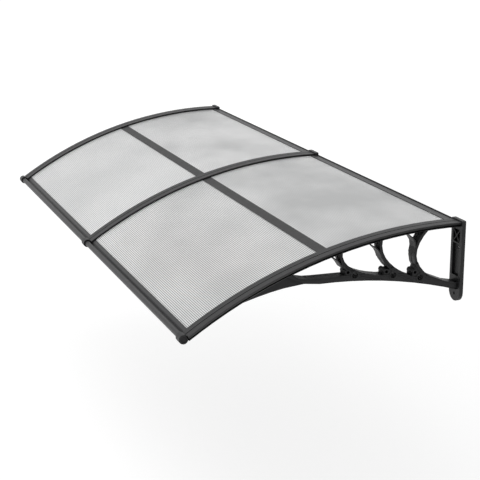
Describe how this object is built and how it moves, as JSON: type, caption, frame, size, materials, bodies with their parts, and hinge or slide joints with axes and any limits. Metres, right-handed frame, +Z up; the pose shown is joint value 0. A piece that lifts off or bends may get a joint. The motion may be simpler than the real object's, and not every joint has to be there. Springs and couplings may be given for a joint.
{
  "type": "door canopy",
  "caption": "Curved twin-wall polycarbonate door canopy on moulded wall brackets with pierced struts, a front tube and a wall bar.",
  "frame": {"origin": "middle of the flat back of the middle bracket's wall plate", "axes": "+X along the wall, +Y into the wall, +Z up; the front edge is at -Y"},
  "size_m": [2.059, 0.8451, 0.2628],
  "materials": {
    "bracket": "moulded, satin black",
    "sheet": "clear ribbed sheet",
    "bar": "painted dark grey",
    "plug": "moulded, satin black",
    "screw": "bright"
  },
  "bodies": {
    "root": {"bracket_left": "bracket", "bracket_middle": "bracket", "bracket_right": "bracket", "sheet_left_rear": "sheet", "sheet_left_front": "sheet", "sheet_right_rear": "sheet", "sheet_right_front": "sheet", "joiner_left": "bar", "joiner_right": "bar", "rear_bar_left": "bar", "rear_bar_right": "bar", "front_bar_left": "bar", "front_bar_right": "bar", "end_plug_left": "plug", "end_plug_right": "plug", "front_bar_screw_left_outer": "screw", "front_bar_screw_left_inner": "screw", "front_bar_screw_right_inner": "screw", "front_bar_screw_right_outer": "screw"}
  },
  "joints": []
}
